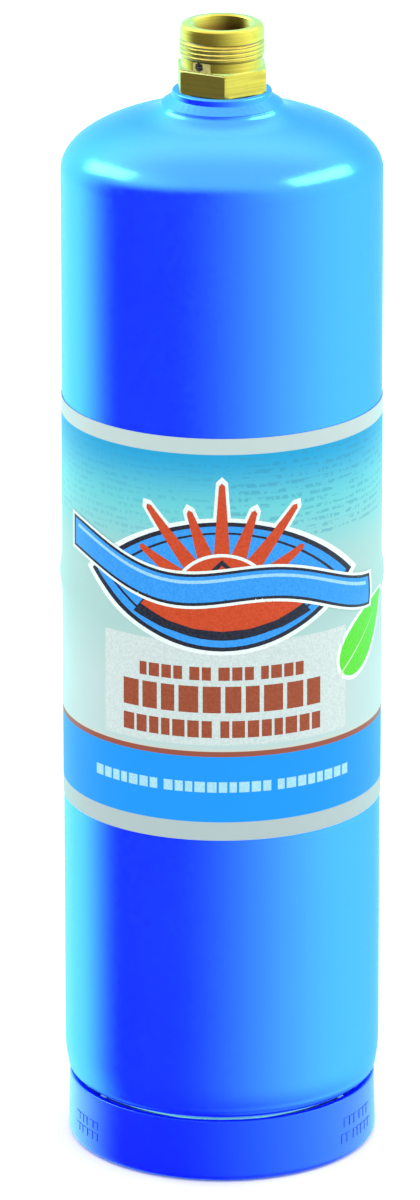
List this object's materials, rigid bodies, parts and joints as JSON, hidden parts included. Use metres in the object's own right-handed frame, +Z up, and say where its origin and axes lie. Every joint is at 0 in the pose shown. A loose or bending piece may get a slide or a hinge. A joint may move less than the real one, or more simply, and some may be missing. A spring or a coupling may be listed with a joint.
{
  "type": "propane cylinder",
  "caption": "Slim refillable propane cylinder: welded blue steel shell on a foot ring, with a wrap label and a threaded brass outlet valve with check core, relief and bleed screw.",
  "frame": {"origin": "centre of the foot ring's bottom face, on the ground", "axes": "+Z up along the cylinder's axis to the valve outlet; -Y is the front, where the label's emblem is"},
  "size_m": [0.0778, 0.0778, 0.278],
  "materials": {
    "blue_paint": "gloss",
    "label_film": "satin print",
    "brass": "machined",
    "spring_steel": "bright",
    "rubber": "matt"
  },
  "bodies": {
    "tank": {"upper_shell": "blue_paint", "lower_shell": "blue_paint", "girth_weld": "blue_paint", "label_sleeve": "label_film", "foot_ring": "blue_paint", "foot_tack_weld_1": "blue_paint", "foot_tack_weld_2": "blue_paint", "foot_tack_weld_3": "blue_paint", "foot_tack_weld_4": "blue_paint", "neck_boss": "blue_paint", "neck_weld": "blue_paint", "valve_o_ring": "rubber", "valve_body": "brass", "dip_tube": "brass", "mouth_gasket": "rubber", "core_housing": "brass", "core_retainer": "brass", "core_spring": "spring_steel", "relief_seat": "brass", "relief_spring": "spring_steel"},
    "check_pin": {"core_pin": "brass", "core_seal": "rubber"},
    "relief": {"relief_poppet": "brass", "relief_seal": "rubber"},
    "bleed_tip": {"bleed_pad": "rubber"},
    "bleed_key": {"bleed_screw": "brass"}
  },
  "joints": [
    {"name": "core_push", "type": "slide", "parent": "tank", "child": "check_pin", "axis": [0, 0, -1], "range_m": [0, 0.0015], "stiffness_N_per_m": 700, "springref_m": -0.002, "deforming": ["core_spring"]},
    {"name": "relief_lift", "type": "slide", "parent": "tank", "child": "relief", "axis": [0, 0, 1], "range_m": [0, 0.001], "stiffness_N_per_m": 2500, "springref_m": -0.003, "deforming": ["relief_spring"]},
    {"name": "bleed_travel", "type": "slide", "parent": "tank", "child": "bleed_tip", "axis": [-0.5736, -0.8192, 0], "range_m": [0, 0.0006]},
    {"name": "bleed_turn", "type": "hinge", "parent": "bleed_tip", "child": "bleed_key", "pos_m": [-0.00459, -0.00655, 0.2691], "axis": [-0.5736, -0.8192, 0], "range_deg": [0, 540]}
  ],
  "couplings": [
    {"joint": "bleed_turn", "follows": "bleed_travel", "rad_per_m": 15708}
  ]
}
